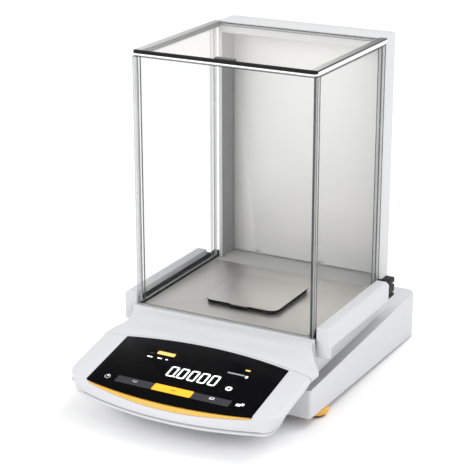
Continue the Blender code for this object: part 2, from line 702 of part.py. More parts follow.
def build_console():
    def at(offset):
        return lambda x: edge_y(x) + offset

    top_plan = console_plan(CONSOLE_HALF_W - 3.2, at(0.3), rear_y, 15, 3)
    side_plan = console_plan(CONSOLE_HALF_W, lambda x: front_y(x, top_z(edge_y(x)) - 3.2),
                             rear_y, 18, 4)
    low_plan = console_plan(CONSOLE_HALF_W - 2.6, parting_y, rear_y, 20, 4)
    bezel = make("console_bezel",
                 loft([[(x, y, top_z(y)) for x, y in top_plan],
                       [(x, y, top_z(y) - 3.2) for x, y in side_plan],
                       [(x, y, part_line(y)) for x, y in low_plan]]), WHITE)
    hollow_top = console_plan(CONSOLE_HALF_W - 7.5, at(7.5), lambda x: rear_y(x) - 5, 13, 3)
    hollow_low = console_plan(CONSOLE_HALF_W - 5.6, lambda x: parting_y(x) + 3,
                              lambda x: rear_y(x) - 3, 18, 3)
    window = [(-56.5, 20.5), (56.5, 20.5), (56.5, 73.5), (-56.5, 73.5)]
    cut(bezel,
        loft([[(x, y, top_z(y) - 5.2) for x, y in hollow_top],
              [(x, y, 22.0) for x, y in hollow_low]]),
        face_slab(glass_outline(GAP, 4.0), -2.3, 6.0),
        loft(strip_rings(GAP)),
        face_slab(window, -8.0, -1.0), solver="MANIFOLD")

    make("display_glass", face_slab(glass_outline(), -2.0, 0.0), SCREEN)
    make("trim_strip", loft(strip_rings(0.0)), ORANGE)
    module = [(-56, 21), (56, 21), (56, 73), (-56, 73)]
    make("display_module", face_slab(module, -7.0, -2.4), BLACK)
    board = make("console_board", face_slab([(-78, 8), (78, 8), (78, 76), (-78, 76)], -11.5, -9.9), BOARD)
    add(board, face_slab([(-40, 20), (-22, 20), (-22, 38), (-40, 38)], -14, -11),
        face_slab([(10, 30), (40, 30), (40, 42), (10, 42)], -15, -11))

    def behind(limit, offset):
        return lambda x: min(rear_y(x) - offset, limit)

    shell_rear = NOSE_FRONT - 0.9
    rim_plan = console_plan(CONSOLE_HALF_W - 2.8, lambda x: parting_y(x) + 0.3, behind(0, 0.3), 20, 4)
    tuck_plan = console_plan(92.0, lambda x: parting_y(x) + 14, behind(shell_rear, 0.3), 16, 4)
    foot_plan = console_plan(84.0, lambda x: -152.0 + 0.001 * x * x, behind(shell_rear, -30), 14, 4)

    def rim_z(y, drop):
        return part_line(y) - shell_gap(y) - drop

    shell = make("console_shell",
                 loft([[(x, y, rim_z(y, 0)) for x, y in rim_plan],
                       [(x, y, rim_z(y, 1.8)) for x, y in rim_plan],
                       [(x, y, rim_z(y, 9.5)) for x, y in tuck_plan],
                       [(x, y, 12.0) for x, y in foot_plan]]), SHELL)
    inner_rear = shell_rear - 3.0
    inner_rim = console_plan(CONSOLE_HALF_W - 11, lambda x: parting_y(x) + 12, behind(inner_rear, 4), 15, 3)
    inner_tuck = console_plan(89.0, lambda x: parting_y(x) + 18, behind(inner_rear, 4), 13, 3)
    inner_foot = console_plan(81.0, lambda x: -146.0 + 0.001 * x * x, behind(inner_rear, -30), 10, 3)
    cut(shell,
        loft([[(x, y, 70.0) for x, y in inner_rim],
              [(x, y, rim_z(y, 1.2)) for x, y in inner_rim],
              [(x, y, rim_z(y, 6.5)) for x, y in inner_tuck],
              [(x, y, 15.0) for x, y in inner_foot]]),
        block(-32.5, 32.5, shell_rear - 6, -60, 16.4, 20.8))

    bracket = make("console_bracket", block(-30, 30, -136, -46, 17.4, 19.9), ZINC)
    cut(bracket, *[rod(2.4, 10, 30, (sx * 20, -54, 0), 12) for sx in (-1, 1)])


build_base()
build_shield()
build_weighing()
build_calibration()
build_console()
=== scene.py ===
import json
import math

import bmesh
import bpy
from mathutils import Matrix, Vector

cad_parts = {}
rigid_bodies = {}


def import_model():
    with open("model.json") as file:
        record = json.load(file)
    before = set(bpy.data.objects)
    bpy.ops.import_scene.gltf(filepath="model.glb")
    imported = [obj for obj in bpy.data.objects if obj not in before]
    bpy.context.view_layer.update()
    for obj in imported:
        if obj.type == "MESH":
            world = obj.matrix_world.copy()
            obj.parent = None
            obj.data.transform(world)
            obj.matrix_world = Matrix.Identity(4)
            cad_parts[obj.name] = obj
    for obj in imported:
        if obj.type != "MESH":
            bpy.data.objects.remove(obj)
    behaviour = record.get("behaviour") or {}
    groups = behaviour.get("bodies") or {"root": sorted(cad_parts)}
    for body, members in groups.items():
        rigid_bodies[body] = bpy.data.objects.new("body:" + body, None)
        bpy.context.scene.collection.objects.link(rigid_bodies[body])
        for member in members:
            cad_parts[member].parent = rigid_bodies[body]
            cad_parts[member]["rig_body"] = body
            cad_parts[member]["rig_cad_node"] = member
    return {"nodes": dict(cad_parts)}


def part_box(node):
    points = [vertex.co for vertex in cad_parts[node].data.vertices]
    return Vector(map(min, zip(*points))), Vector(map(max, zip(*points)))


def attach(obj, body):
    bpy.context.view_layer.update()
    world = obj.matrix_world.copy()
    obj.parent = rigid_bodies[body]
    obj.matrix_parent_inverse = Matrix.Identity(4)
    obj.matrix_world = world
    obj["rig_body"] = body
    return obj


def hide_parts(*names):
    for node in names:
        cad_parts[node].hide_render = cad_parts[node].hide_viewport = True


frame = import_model()

bl_info = {
    "name": "Analytical balance",
    "version": (1, 0, 0),
    "blender": (4, 5, 0),
    "location": "3D View > Sidebar > Balance",
    "description": "Builds the outer pieces and finishes of an analytical balance",
    "category": "Object",
}

MM = 0.001
SIDES = (("left", -1), ("right", 1))

# Console face: its slope, the middle of its front edge, and how the signs lie on it
CONSOLE_TILT = math.radians(11.84)
FACE_START = Vector((0.0, -0.1734, 0.0479))
SIGN_LIFT = 0.00006
SIGN_DEPTH = 0.00014
DIGITS = 5
DIGIT_START, DIGIT_MIDDLE, DIGIT_RADIUS = -15.5, 38.5, 2.4

# Finishes of a pane and of the housing, by their place in each piece's list
PANE_GROUND, PANE_SHADE, PANE_GREY = 1, 2, 3
HOUSING_DECK_SHADE, HOUSING_LEDGE_SHADE = 1, 2
STRIP_WHITE, STRIP_GAP_SHADE = 1, 2
RAIL_WHITE, RAIL_LINE = 1, 2

# Range of a noise pattern that is spread over a finish
PATTERN_LOW, PATTERN_HIGH = 0.3, 0.7
FINE_BUMP = 0.00005
LINES_ALONG_X, LINES_ALONG_Y = (14.0, 900.0, 14.0), (900.0, 14.0, 900.0)

# Housing ledge beside the raised deck, painted with shade that is dark at the front and fades to
# white towards the rear
LEDGE_INNER = 0.098
LEDGE_DROP, LEDGE_DEEPEST = 3 * MM, 60 * MM
LEDGE_SHADE_FRONT, LEDGE_SHADE_REAR = -0.04, 0.15

# Levelling wheels
WHEEL_CORNERS = 96
WHEEL_FLANGE = 0.0094
WHEEL_RIM = 0.0135
WHEEL_CHAMFER = 0.0011
KNURL_ANGLE, KNURL_GAP, KNURL_DEPTH = 3.75, 0.00012, 0.0003

# Pins of the serial port: rows as height and count
PIN_ROWS = ((0.0012, 5), (-0.0012, 4))
PIN_PITCH, PIN_RADIUS, PIN_LENGTH, PIN_BACK = 0.0028, 0.0005, 0.0042, 0.0052

# Panes: bands on the front pane's sides, at the front of the side doors and at their rear; the
# black bands are painted shade
PANE_ALPHA = 0.045
PANE_LEFT_BAND, PANE_RIGHT_BAND = 1.2 * MM, 2.2 * MM
DOOR_FRONT_BAND = (3.0 * MM, 5.6 * MM)
DOOR_REAR_BAND = (11.5 * MM, 9.0 * MM, 3.0 * MM)
TOP_DOOR_TINT, TOP_DOOR_ALPHA = (0.60, 0.585, 0.54), 0.22

# Bar over the front pane: its black top and its grey foot, which is painted shade of the gap at the
# pane's top edge
STRIP_BLACK, STRIP_FOOT = 3.0 * MM, 0.8 * MM

# Top rails: the painted shade on their tops from front to rear, the lips on either side of the
# groove, the chamfer and the dark outer line
RAIL_SHADE_TONES = {"left": ((0.50, 0.50, 0.50), (0.34, 0.345, 0.35)),
              "right": ((0.46, 0.46, 0.46), (0.06, 0.06, 0.063))}
RAIL_LIP, LOWER_LIP, UPPER_LIP = 1.8 * MM, 1.15 * MM, 1.75 * MM
RAIL_CHAMFER = 1.0 * MM
RAIL_LINE_WIDTH, RAIL_LINE_TOP, RAIL_LINE_FOOT = 1.4 * MM, 1.5 * MM, 1.1 * MM
RAIL_SHADE_FRONT, RAIL_SHADE_REAR = -0.05, 0.10

# Door handles: front cap, shoulder, wall and the pocket below
CAP_DEPTH, CAP_LENGTH = 10.4 * MM, 5.0 * MM
SHOULDER, HANDLE_WALL, POCKET_DEPTH = 3.0 * MM, 1.8 * MM, 12.0 * MM

# Black skirt below the pan's edge, painted shadow of the gap under the pan
SHADOW_SKIRT_WIDTH, SHADOW_SKIRT_DEPTH = 0.0016, 0.0022
SHADOW_SKIRT_REACH, LARGEST_SHADOW_SKIRT_FACE = 2.2 * MM, 0.001

# Stage
TABLE_SIZE = 12.0
SKY_STRENGTH = 0.92
SUN_TURN = (math.radians(-22), math.radians(24), 0)
SUN_STRENGTH, SUN_WIDTH = 0.95, math.radians(30)
CAMERA_PLACE = (0.7058, -1.3560, 0.6913)
CAMERA_TURN = (math.radians(70.76), 0, math.radians(28.02))
CAMERA_LENS, CAMERA_SENSOR = 118.6, 36.0


# ------------------------------------------------------------------ settings

def colour_setting(label, text, value):
    return bpy.props.FloatVectorProperty(
        name=label, description=text, subtype="COLOR", size=3, min=0.0, max=1.0, default=value)


def length_setting(label, text, value):
    return bpy.props.FloatProperty(
        name=label, description=text, subtype="DISTANCE", unit="LENGTH", min=0.0, precision=5,
        default=value)


class BalanceColours(bpy.types.PropertyGroup):
    """Colours of the finishes"""

    white: colour_setting("Housing white", "Moulded housing parts", (0.575, 0.577, 0.60))
    column: colour_setting("Column white", "Rear column", (0.60, 0.605, 0.615))
    panel: colour_setting("Panel grey", "Back panel in the chamber", (0.92, 0.92, 0.915))
    steel: colour_setting("Steel", "Floor plate and pan", (0.44, 0.425, 0.405))
    orange: colour_setting("Orange", "Trim strip and levelling wheels", (0.78, 0.42, 0.07))
    screen: colour_setting("Screen black", "Cover over the display", (0.003, 0.003, 0.0035))
    lit_white: colour_setting("Lit white", "Lit digits and signs", (0.92, 0.92, 0.90))
    lit_orange: colour_setting("Lit orange", "Lit middle key", (0.90, 0.40, 0.035))
    key_grey: colour_setting("Key grey", "Unlit touch keys", (0.045, 0.045, 0.05))
    glass: colour_setting("Glass tint", "Body tint of the panes", (0.10, 0.105, 0.105))
    floor: colour_setting("Table", "Surface under the balance", (0.93, 0.93, 0.93))


class BalanceSizes(bpy.types.PropertyGroup):
    """Sizes that aren't fixed by the frame"""

    edge: length_setting("Edge rounding", "Rounding of the housing's edges", 0.0012)
    glass_edge: length_setting("Glass arris", "Ground chamfer on the panes", 0.0005)
    digit_height: length_setting("Digit height", "Height of the display's digits", 0.0170)
    digit_width: length_setting("Digit width", "Width of one digit", 0.0090)
    digit_pitch: length_setting("Digit pitch", "Distance between digits", 0.0116)
    stroke: length_setting("Digit stroke", "Line width of the digits", 0.0018)


# ------------------------------------------------------------------ materials

def new_material(name, colour, roughness, metallic=0.0):
    """A Principled material and its shader; None for the shader when it was made before."""
    if name in bpy.data.materials:
        return bpy.data.materials[name], None
    made = bpy.data.materials.new(name)
    made.use_nodes = True
    tree = made.node_tree
    shader = tree.nodes["Principled BSDF"]
    shader.inputs["Base Color"].default_value = (*colour, 1.0)
    shader.inputs["Roughness"].default_value = roughness
    shader.inputs["Metallic"].default_value = metallic
    return made, shader


def placed_noise(shader, scale, stretch=(1.0, 1.0, 1.0), detail=3.0):
    """Noise on the piece's own coordinates."""
    tree = shader.id_data
    coordinates = tree.nodes.new("ShaderNodeTexCoord")
    mapping = tree.nodes.new("ShaderNodeMapping")
    mapping.inputs["Scale"].default_value = stretch
    noise = tree.nodes.new("ShaderNodeTexNoise")
    noise.inputs["Scale"].default_value = scale
    noise.inputs["Detail"].default_value = detail
    tree.links.new(coordinates.outputs["Object"], mapping.inputs["Vector"])
    tree.links.new(mapping.outputs["Vector"], noise.inputs["Vector"])
    return noise


def spread(shader, source, low, high, socket):
    """Maps a pattern's range to low..high on one of the shader's sockets."""
    tree = shader.id_data
    ranges = tree.nodes.new("ShaderNodeMapRange")
    ranges.inputs["From Min"].default_value = PATTERN_LOW
    ranges.inputs["From Max"].default_value = PATTERN_HIGH
    ranges.inputs["To Min"].default_value = low
    ranges.inputs["To Max"].default_value = high
    tree.links.new(source, ranges.inputs["Value"])
    tree.links.new(ranges.outputs["Result"], shader.inputs[socket])


def two_tone(shader, source, colour, shift):
    """Base colour that wanders by shift either side of colour."""
    tree = shader.id_data
    mix = tree.nodes.new("ShaderNodeMix")
    mix.data_type = "RGBA"
    mix.inputs["A"].default_value = (*[max(0.0, c * (1 - shift)) for c in colour], 1.0)
    mix.inputs["B"].default_value = (*[min(1.0, c * (1 + shift)) for c in colour], 1.0)
    tree.links.new(source, mix.inputs["Factor"])
    tree.links.new(mix.outputs["Result"], shader.inputs["Base Color"])


def grain(shader, source, strength, distance):
    tree = shader.id_data
    bump = tree.nodes.new("ShaderNodeBump")
    bump.inputs["Strength"].default_value = strength
    bump.inputs["Distance"].default_value = distance
    tree.links.new(source, bump.inputs["Height"])
    tree.links.new(bump.outputs["Normal"], shader.inputs["Normal"])


def plastic(name, colour, roughness=0.45, texture=0.25, shift=0.015):
    """Moulded plastic with a fine spark-eroded texture and faint tone drift."""
    made, shader = new_material(name, colour, roughness)
    if shader:
        fine = placed_noise(shader, 2600.0, detail=2.0)
        broad = placed_noise(shader, 18.0)
        grain(shader, fine.outputs["Fac"], texture, 0.00004)
        two_tone(shader, broad.outputs["Fac"], colour, shift)
        spread(shader, broad.outputs["Fac"], roughness - 0.04, roughness + 0.05, "Roughness")
        shader.inputs["Specular IOR Level"].default_value = 0.35
    return made


def brushed(name, colour, roughness=0.38, stretch=LINES_ALONG_X, depth=0.16):
    """Metal with fine straight brushing, along X unless stretch says otherwise."""
    made, shader = new_material(name, colour, roughness, 1.0)
    if shader:
        lines = placed_noise(shader, 3.0, stretch, 4.0)
        broad = placed_noise(shader, 9.0)
        grain(shader, lines.outputs["Fac"], depth, FINE_BUMP)
        two_tone(shader, lines.outputs["Fac"], colour, 0.09)
        spread(shader, broad.outputs["Fac"], roughness - 0.05, roughness + 0.06, "Roughness")
    return made


def cast_metal(name, colour, roughness=0.5):
    """Die-cast or turned metal with a mottled surface."""
    made, shader = new_material(name, colour, roughness, 1.0)
    if shader:
        mottled = placed_noise(shader, 220.0, detail=6.0)
        grain(shader, mottled.outputs["Fac"], 0.35, 0.0001)
        two_tone(shader, mottled.outputs["Fac"], colour, 0.08)
        spread(shader, mottled.outputs["Fac"], roughness - 0.08, roughness + 0.1, "Roughness")
    return made


def graded(name, front, rear, start, end, roughness=0.42, metallic=0.0, depth=0.15):
    """A finish that changes from front to rear along Y, used for painted shade that fades along the
    piece, with fine lines along it.
    """
    made, shader = new_material(name, front, roughness, metallic)
    if shader:
        tree = shader.id_data
        coordinates = tree.nodes.new("ShaderNodeTexCoord")
        parts = tree.nodes.new("ShaderNodeSeparateXYZ")
        ranges = tree.nodes.new("ShaderNodeMapRange")
        ranges.inputs["From Min"].default_value = start
        ranges.inputs["From Max"].default_value = end
        mix = tree.nodes.new("ShaderNodeMix")
        mix.data_type = "RGBA"
        mix.inputs["A"].default_value = (*front, 1.0)
        mix.inputs["B"].default_value = (*rear, 1.0)
        tree.links.new(coordinates.outputs["Object"], parts.inputs["Vector"])
        tree.links.new(parts.outputs["Y"], ranges.inputs["Value"])
        tree.links.new(ranges.outputs["Result"], mix.inputs["Factor"])
        tree.links.new(mix.outputs["Result"], shader.inputs["Base Color"])
        lines = placed_noise(shader, 3.0, LINES_ALONG_Y, 4.0)
        grain(shader, lines.outputs["Fac"], depth, FINE_BUMP)
    return made


def clear_glass(name, colour, alpha, roughness=0.03):
    """A pane's clear face: light passes straight through, with faint wipe marks."""
    made, shader = new_material(name, colour, roughness)
    if shader:
        marks = placed_noise(shader, 6.0, (1.0, 1.0, 4.0), 5.0)
        spread(shader, marks.outputs["Fac"], alpha * 0.93, alpha * 1.07, "Alpha")
        spread(shader, marks.outputs["Fac"], roughness, roughness + 0.03, "Roughness")
        shader.inputs["IOR"].default_value = 1.5
        made.surface_render_method = "BLENDED"
    return made


def lit(name, colour, strength, shift=0.03):
    """A lit sign behind the cover, slightly uneven like a back-lit layer."""
    made, shader = new_material(name, colour, 0.5)
    if shader:
        cells = placed_noise(shader, 500.0, detail=1.0)
        two_tone(shader, cells.outputs["Fac"], colour, shift)
        shader.inputs["Emission Color"].default_value = (*colour, 1.0)
        spread(shader, cells.outputs["Fac"], strength * 0.94, strength * 1.06, "Emission Strength")
        shader.inputs["Specular IOR Level"].default_value = 0.0
    return made


def screen_cover(name, colour):
    """Gloss black cover with a barely visible drift in its polish."""
    made, shader = new_material(name, colour, 0.12)
    if shader:
        haze = placed_noise(shader, 12.0, detail=4.0)
        two_tone(shader, haze.outputs["Fac"], colour, 0.25)
        spread(shader, haze.outputs["Fac"], 0.10, 0.17, "Roughness")
        shader.inputs["Specular IOR Level"].default_value = 0.015
    return made


def circuit_board(name):
    """Green solder mask with lighter tracks."""
    colour = (0.02, 0.13, 0.05)
    made, shader = new_material(name, colour, 0.4)
    if shader:
        tree = shader.id_data
        coordinates = tree.nodes.new("ShaderNodeTexCoord")
        tracks = tree.nodes.new("ShaderNodeTexBrick")
        tracks.inputs["Scale"].default_value = 160.0
        tracks.inputs["Color1"].default_value = (*colour, 1.0)
        tracks.inputs["Color2"].default_value = (0.015, 0.10, 0.04, 1.0)
        tracks.inputs["Mortar"].default_value = (0.07, 0.24, 0.09, 1.0)
        tracks.inputs["Mortar Size"].default_value = 0.03
        tree.links.new(coordinates.outputs["Object"], tracks.inputs["Vector"])
        tree.links.new(tracks.outputs["Color"], shader.inputs["Base Color"])
        grain(shader, tracks.outputs["Fac"], 0.3, 0.0001)
    return made


def wound_wire(name):
    """Fine copper turns, one above the other."""
    colour = (0.55, 0.24, 0.10)
    made, shader = new_material(name, colour, 0.35, 1.0)
    if shader:
        tree = shader.id_data
        coordinates = tree.nodes.new("ShaderNodeTexCoord")
        turns = tree.nodes.new("ShaderNodeTexWave")
        turns.bands_direction = "Z"
        turns.inputs["Scale"].default_value = 400.0
        tree.links.new(coordinates.outputs["Object"], turns.inputs["Vector"])
        grain(shader, turns.outputs["Fac"], 0.7, 0.0002)
        two_tone(shader, turns.outputs["Fac"], colour, 0.2)
    return made


def colours():
    return bpy.context.scene.balance_colours


def sizes():
    return bpy.context.scene.balance_sizes


def white_moulding():
    return plastic("white_moulding", colours().white)


def dull(made, specular):
    """Takes the shine off a finish."""
    made.node_tree.nodes["Principled BSDF"].inputs["Specular IOR Level"].default_value = specular
    return made


def black_moulding():
    return dull(plastic("black_moulding", (0.008, 0.008, 0.0085), 0.5, 0.3, 0.1), 0.12)


def rubber():
    return plastic("black_rubber", (0.012, 0.012, 0.012), 0.75, 0.6, 0.12)


def orange_moulding():
    return plastic("orange_moulding", colours().orange, 0.42, 0.2, 0.03)


def steel_plate():
    return brushed("brushed_steel", colours().steel)


def zinc():
    return brushed("zinc_plated_steel", (0.55, 0.55, 0.56), 0.33, (120.0, 120.0, 120.0), 0.1)


def aluminium():
    return cast_metal("cast_aluminium", (0.56, 0.57, 0.58))


# ------------------------------------------------------------------ modelling

def deselect():
    if bpy.context.object and bpy.context.object.mode != "OBJECT":
        bpy.ops.object.mode_set(mode="OBJECT")
    bpy.ops.object.select_all(action="DESELECT")


def enter(piece):
    """Edit mode on one piece, nothing of it selected."""
    deselect()
    piece.select_set(True)
    bpy.context.view_layer.objects.active = piece
    bpy.ops.object.mode_set(mode="EDIT")
    bpy.ops.mesh.select_all(action="DESELECT")


def leave():
    bpy.ops.object.mode_set(mode="OBJECT")


def pick(piece, kind, test):
    """Selects the corners, edges or faces that pass a test of place or normal."""
    bpy.ops.mesh.select_mode(type=kind)
    bpy.ops.mesh.select_all(action="DESELECT")
    shape = bmesh.from_edit_mesh(piece.data)
    items = {"VERT": shape.verts, "EDGE": shape.edges, "FACE": shape.faces}[kind]
    for item in items:
        if test(item):
            item.select_set(True)
    bmesh.update_edit_mesh(piece.data)


def settle_place(piece):
    """Puts the piece's place into its mesh."""
    deselect()
    piece.select_set(True)
    bpy.context.view_layer.objects.active = piece
    bpy.ops.object.transform_apply(location=True, rotation=True, scale=True)


def start_box(name, low, high):
    deselect()
    low, high = Vector(low), Vector(high)
    bpy.ops.mesh.primitive_cube_add(size=1.0, location=(low + high) / 2)
    piece = bpy.context.active_object
    piece.name = name
    piece.scale = high - low
    settle_place(piece)
    return piece


def start_disc(name, centre, radius, depth, corners=48):
    deselect()
    bpy.ops.mesh.primitive_cylinder_add(vertices=corners, radius=radius, depth=depth,
                                        location=centre)
    piece = bpy.context.active_object
    piece.name = name
    settle_place(piece)
    return piece


def copy_of(node, name):
    """A workable copy of a frame node, its loose triangles merged into faces."""
    deselect()
    source = frame["nodes"][node]
    source.select_set(True)
    bpy.context.view_layer.objects.active = source
    bpy.ops.object.duplicate()
    piece = bpy.context.active_object
    bpy.ops.object.parent_clear(type="CLEAR_KEEP_TRANSFORM")
    piece.name = name
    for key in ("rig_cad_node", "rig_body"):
        if key in piece:
            del piece[key]
    enter(piece)
    bpy.ops.mesh.select_all(action="SELECT")
    bpy.ops.mesh.remove_doubles(threshold=0.00001)
    bpy.ops.mesh.dissolve_limited(angle_limit=math.radians(0.6))
    leave()
    return piece


def add_rounding(piece, width, segments=3, angle=30.0, smooth=35.0):
    """Rounds every edge sharper than angle, and shades the piece."""
    deselect()
    piece.select_set(True)
    bpy.context.view_layer.objects.active = piece
    bpy.ops.object.modifier_add(type="BEVEL")
    bevel = piece.modifiers[-1]
    bevel.width = width
    bevel.segments = segments
    bevel.limit_method = "ANGLE"
    bevel.angle_limit = math.radians(angle)
    bevel.use_clamp_overlap = False
    bevel.miter_outer = "MITER_ARC"
    bpy.ops.object.modifier_apply(modifier=bevel.name)
    bpy.ops.object.shade_smooth_by_angle(angle=math.radians(smooth))


def dress(piece, *materials):
    piece.data.materials.clear()
    for one in materials:
        piece.data.materials.append(one)


def finish_piece(piece, body, slot, materials, *nodes):
    """Gives a piece its finishes and its body, and hides the nodes it stands for; slot is not used.
    """
    dress(piece, *materials)
    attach(piece, body)
    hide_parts(*nodes)
    return piece


def dress_node(node, material):
    """A frame node that stays in view gets its finish."""
    found = frame["nodes"][node]
    for index in range(max(1, len(found.material_slots))):
        if not found.material_slots:
            found.data.materials.append(material)
        else:
            found.material_slots[index].material = material


def paint_faces(piece, index, test):
    """Gives the faces that pass a test another of the piece's finishes."""
    for face in piece.data.polygons:
        if test(face):
            face.material_index = index


def slice_at(piece, axis, places, ends=None):
    """Cuts a piece's faces along planes across one axis, but for those that face along ends."""
    enter(piece)
    for place in places:
        pick(piece, "FACE", lambda f: ends is None or abs(f.normal[ends]) < 0.9)
        spot, normal = Vector(), Vector()
        spot[axis], normal[axis] = place, 1.0
        bpy.ops.mesh.bisect(plane_co=spot, plane_no=normal)
    leave()


def paint_band(piece, index, axis, low, high):
    """Gives all faces between two planes across one axis another finish."""
    paint_faces(piece, index, lambda f: low < f.center[axis] < high)


# ------------------------------------------------------------------ operators

class BalanceOperator:
    """Shared by all operators below"""

    bl_options = {"REGISTER", "UNDO"}


class BALANCE_OT_add_housing(BalanceOperator, bpy.types.Operator):
    """Add the base housing and the front apron with rounded edges"""

    bl_idname = "balance.add_housing"
    bl_label = "Housing"

    def execute(self, context):
        housing = copy_of("housing", "housing_moulding")
        add_rounding(housing, sizes().edge, 3, 35.0)
        # Painted shade for the deck's top: a flat mid grey.
        deck_painted_shade = plastic("deck_painted_shade", (0.46, 0.46, 0.455), 0.5)
        # Painted shade for the ledge: dark grey at the front, fading to the housing white towards
        # the rear.
        ledge = graded("ledge_painted_shade", (0.24, 0.24, 0.25), colours().white,
                       LEDGE_SHADE_FRONT, LEDGE_SHADE_REAR, 0.6, 0.0, 0.05)
        slice_at(housing, 0, (-LEDGE_INNER, LEDGE_INNER))
        finish_piece(housing, "base", "housing_white", [white_moulding(), deck_painted_shade, ledge],
                     "housing")
        deck_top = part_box("floor_plate")[0].z
        # The ledge's upward faces get the painted shade.
        paint_faces(housing, HOUSING_LEDGE_SHADE,
                    lambda f: f.normal.z > 0.7 and abs(f.center.x) > LEDGE_INNER
                    and deck_top - LEDGE_DEEPEST < f.center.z < deck_top - LEDGE_DROP)
        # The deck's top gets the painted shade.
        paint_faces(housing, HOUSING_DECK_SHADE,
                    lambda f: f.normal.z > 0.9 and abs(f.center.z - deck_top) < MM)
        apron = copy_of("front_apron", "front_apron_moulding")
        add_rounding(apron, 0.0007, 2, 40.0, 50.0)
        finish_piece(apron, "base", "housing_white", [white_moulding()], "front_apron")
        return {"FINISHED"}


def knurl_number(spoke):
    """Number of the rim's facet that a spoke from the wheel's middle points at."""
    return round(math.degrees(math.atan2(spoke.y, spoke.x)) / KNURL_ANGLE - 0.5)


class BALANCE_OT_add_feet(BalanceOperator, bpy.types.Operator):
    """Add the knurled levelling wheels and dress the studs, rear feet and chassis"""

    bl_idname = "balance.add_feet"
    bl_label = "Feet"

    def execute(self, context):
        for side, _ in SIDES:
            node = f"levelling_wheel_{side}"
            low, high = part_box(node)
            centre = (low + high) / 2
            wheel = start_disc(f"levelling_wheel_rim_{side}", centre,
                               (high.x - low.x) / 2, high.z - low.z, WHEEL_CORNERS)
            enter(wheel)
            pick(wheel, "FACE", lambda f: abs(f.normal.z) > 0.9)
            bpy.ops.mesh.inset(thickness=WHEEL_FLANGE, use_individual=True)
            bpy.ops.mesh.bridge_edge_loops()
            rims = (low.z, high.z)
            pick(wheel, "EDGE", lambda e: all(
                min(abs(v.co.z - z) for z in rims) < 0.01 * MM
                and (v.co - centre).xy.length > WHEEL_RIM for v in e.verts))
            bpy.ops.mesh.bevel(offset=WHEEL_CHAMFER, segments=2)
            pick(wheel, "FACE", lambda f: abs(f.normal.z) < 0.1
                 and (f.calc_center_median() - centre).xy.length > WHEEL_RIM
                 and knurl_number(f.calc_center_median() - centre) % 2)
            bpy.ops.mesh.inset(thickness=KNURL_GAP, depth=-KNURL_DEPTH, use_individual=True)
            leave()
            bpy.ops.object.shade_smooth_by_angle(angle=math.radians(30))
            finish_piece(wheel, f"{side}_wheel", "orange_plastic", [orange_moulding()], node)
            dress_node(f"levelling_stud_{side}", rubber())
            dress_node(f"rear_foot_{side}", rubber())
        dress_node("base_plate", aluminium())
        dress_node("hook_cover", black_moulding())
        return {"FINISHED"}


class BALANCE_OT_add_ports(BalanceOperator, bpy.types.Operator):
    """Dress the power inlet and add the data ports and their pins"""

    bl_idname = "balance.add_ports"
    bl_label = "Ports"

    def execute(self, context):
        dress_node("power_inlet", black_moulding())
        for node in ("serial_port", "usb_port"):
            shell = copy_of(node, f"{node}_shell")
            add_rounding(shell, 0.0003, 2, 40.0)
            finish_piece(shell, "base", "zinc_steel", [zinc()], node)
        low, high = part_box("serial_port")
        for row, count in PIN_ROWS:
            for number in range(count):
                spot = Vector(((low.x + high.x) / 2 + (number - (count - 1) / 2) * PIN_PITCH,
                               high.y - PIN_BACK, (low.z + high.z) / 2 + row))
                deselect()
                bpy.ops.mesh.primitive_cylinder_add(
                    vertices=10, radius=PIN_RADIUS, depth=PIN_LENGTH, location=spot,
                    rotation=(math.pi / 2, 0, 0))
                pin = bpy.context.active_object
                pin.name = f"serial_pin_{'upper' if row > 0 else 'lower'}_{number + 1}"
                settle_place(pin)
                add_rounding(pin, 0.0001, 1)
                dress(pin, brushed("contact_gold", (0.70, 0.50, 0.18), 0.25,
                                   (200.0, 200.0, 20.0), 0.05))
                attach(pin, "base")
        return {"FINISHED"}


class BALANCE_OT_add_console(BalanceOperator, bpy.types.Operator):
    """Add the console's bezel, lower shell, display cover and trim strip"""

    bl_idname = "balance.add_console"
    bl_label = "Console"

    def execute(self, context):
        bezel = copy_of("console_bezel", "console_bezel_moulding")
        add_rounding(bezel, 0.0008, 2, 28.0, 40.0)
        finish_piece(bezel, "base", "housing_white", [white_moulding()], "console_bezel")
        shell = copy_of("console_shell", "console_lower_moulding")
        add_rounding(shell, 0.0008, 2, 28.0, 40.0)
        finish_piece(shell, "base", "console_white", [white_moulding()], "console_shell")
        cover = copy_of("display_glass", "display_cover")
        add_rounding(cover, 0.0003, 2, 50.0)
        finish_piece(cover, "base", "display_black",
                     [screen_cover("screen_cover", colours().screen)], "display_glass")
        strip = copy_of("trim_strip", "orange_trim")
        add_rounding(strip, 0.0002, 1, 50.0)
        finish_piece(strip, "base", "orange_plastic", [orange_moulding()], "trim_strip")
        dress_node("display_module", black_moulding())
        dress_node("console_board", circuit_board("circuit_board"))
        dress_node("console_bracket", zinc())
        return {"FINISHED"}


def lay_on_face(piece, u, v):
    """Turns a flat sign from the table's plane onto the console's sloping face."""
    up = Vector((0, math.cos(CONSOLE_TILT), math.sin(CONSOLE_TILT)))
    out = Vector((0, -math.sin(CONSOLE_TILT), math.cos(CONSOLE_TILT)))
    piece.rotation_euler = (CONSOLE_TILT, 0, 0)
    piece.location = FACE_START + Vector((u, 0, 0)) * MM + up * v * MM + out * SIGN_LIFT
    settle_place(piece)


